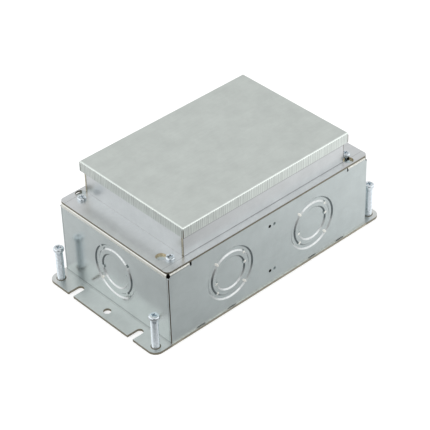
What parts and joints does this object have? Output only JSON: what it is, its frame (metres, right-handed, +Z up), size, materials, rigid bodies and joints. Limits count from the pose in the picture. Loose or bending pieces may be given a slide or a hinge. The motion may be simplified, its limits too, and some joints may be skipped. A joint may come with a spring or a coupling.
{
  "type": "floor box",
  "caption": "Galvanised steel floor box on a flat flanged plate, with concentric knockouts in its walls, a raised collar frame, a pan lid and corner levelling screws.",
  "frame": {"origin": "middle of the base plate's underside", "axes": "+X along the box, +Y across it towards the rear long wall, +Z up through the lid"},
  "size_m": [0.2336, 0.121, 0.094],
  "materials": {
    "galvanised_sheet": "zinc-coated sheet steel, semi-gloss, with a faint spangle and dull sheared edges",
    "zinc_screw": "bright zinc plate, slightly blue",
    "green_screw": "green dyed zinc plate"
  },
  "bodies": {
    "box": {"base_plate": "galvanised_sheet", "box_body": "galvanised_sheet", "cover_frame": "galvanised_sheet", "lid": "galvanised_sheet", "divider": "galvanised_sheet", "ground_screw": "green_screw", "cover_screw_front_left": "zinc_screw", "cover_screw_front_right": "zinc_screw", "cover_screw_rear_left": "zinc_screw", "cover_screw_rear_right": "zinc_screw"},
    "levelling_screw_front_left": {"levelling_screw_front_left": "zinc_screw"},
    "levelling_screw_front_right": {"levelling_screw_front_right": "zinc_screw"},
    "levelling_screw_rear_left": {"levelling_screw_rear_left": "zinc_screw"},
    "levelling_screw_rear_right": {"levelling_screw_rear_right": "zinc_screw"}
  },
  "joints": [
    {"name": "levelling_screw_front_left_down", "type": "slide", "parent": "box", "child": "levelling_screw_front_left", "axis": [0, 0, -1], "range_m": [0, 0.025]},
    {"name": "levelling_screw_front_right_down", "type": "slide", "parent": "box", "child": "levelling_screw_front_right", "axis": [0, 0, -1], "range_m": [0, 0.025]},
    {"name": "levelling_screw_rear_left_down", "type": "slide", "parent": "box", "child": "levelling_screw_rear_left", "axis": [0, 0, -1], "range_m": [0, 0.025]},
    {"name": "levelling_screw_rear_right_down", "type": "slide", "parent": "box", "child": "levelling_screw_rear_right", "axis": [0, 0, -1], "range_m": [0, 0.025]}
  ]
}
